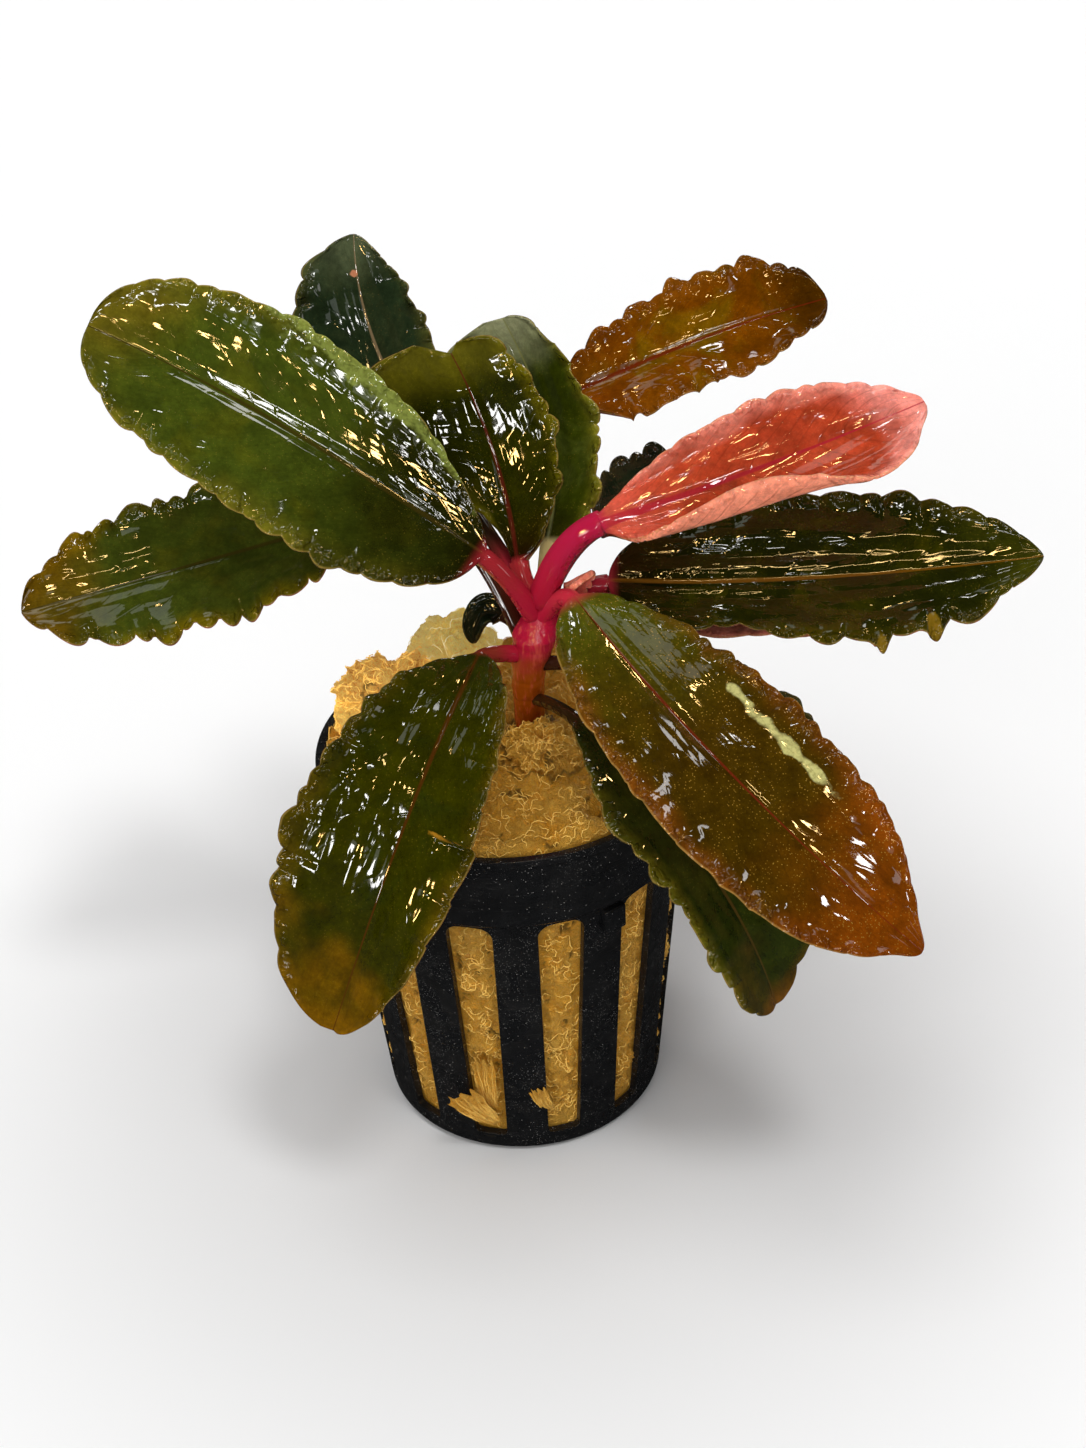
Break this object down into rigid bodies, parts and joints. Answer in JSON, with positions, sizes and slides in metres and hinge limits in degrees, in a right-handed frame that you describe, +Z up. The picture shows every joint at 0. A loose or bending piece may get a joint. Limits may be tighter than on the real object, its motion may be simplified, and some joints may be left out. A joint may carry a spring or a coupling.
{
  "type": "bucephalandra aquarium plant in a net pot",
  "caption": "Low aquarium plant with ruffled, wet-looking oval leaves on short stalks, rooted in rock wool in a small slotted black net pot.",
  "frame": {"origin": "centre of the underside of the pot", "axes": "+Z up out of the pot, +X to the right and -Y to the front as the plant is looked at, along its widest spread"},
  "size_m": [0.1275, 0.0817, 0.116],
  "materials": {
    "pot_black": "moulded black plastic, satin, with fine pale specks",
    "wool_amber": "fibrous amber rock wool, damp",
    "wool_pale": "pale yellow rock wool, damp",
    "stem_magenta": "glossy fleshy stem, magenta above and orange-brown at the foot",
    "leaf_green": "wet glossy leaf, dark green to olive with a paler margin",
    "leaf_dark": "wet glossy leaf, very dark green",
    "leaf_amber": "wet glossy leaf, olive to orange-brown with a red rib",
    "leaf_pink": "wet glossy young leaf, salmon pink"
  },
  "bodies": {
    "root": {"net_pot": "pot_black", "rock_wool": "wool_amber", "wool_stem_wrap": "wool_amber", "wool_left_block": "wool_amber", "wool_pale_lump": "wool_pale", "stem": "stem_magenta", "leaf_left_upper": "leaf_green", "leaf_left_lower": "leaf_dark", "leaf_back_left": "leaf_dark", "leaf_center_upright": "leaf_green", "leaf_center_back": "leaf_green", "leaf_right_upper": "leaf_amber", "leaf_new_pink": "leaf_pink", "leaf_right": "leaf_green", "leaf_front_right": "leaf_amber", "leaf_front_left": "leaf_green", "leaf_low_right": "leaf_dark", "leaf_back_right": "leaf_dark", "leaf_under_right": "leaf_pink", "leaf_hidden_right": "leaf_dark", "leaf_small_curled": "leaf_dark", "scale_leaf": "leaf_pink"}
  },
  "joints": []
}
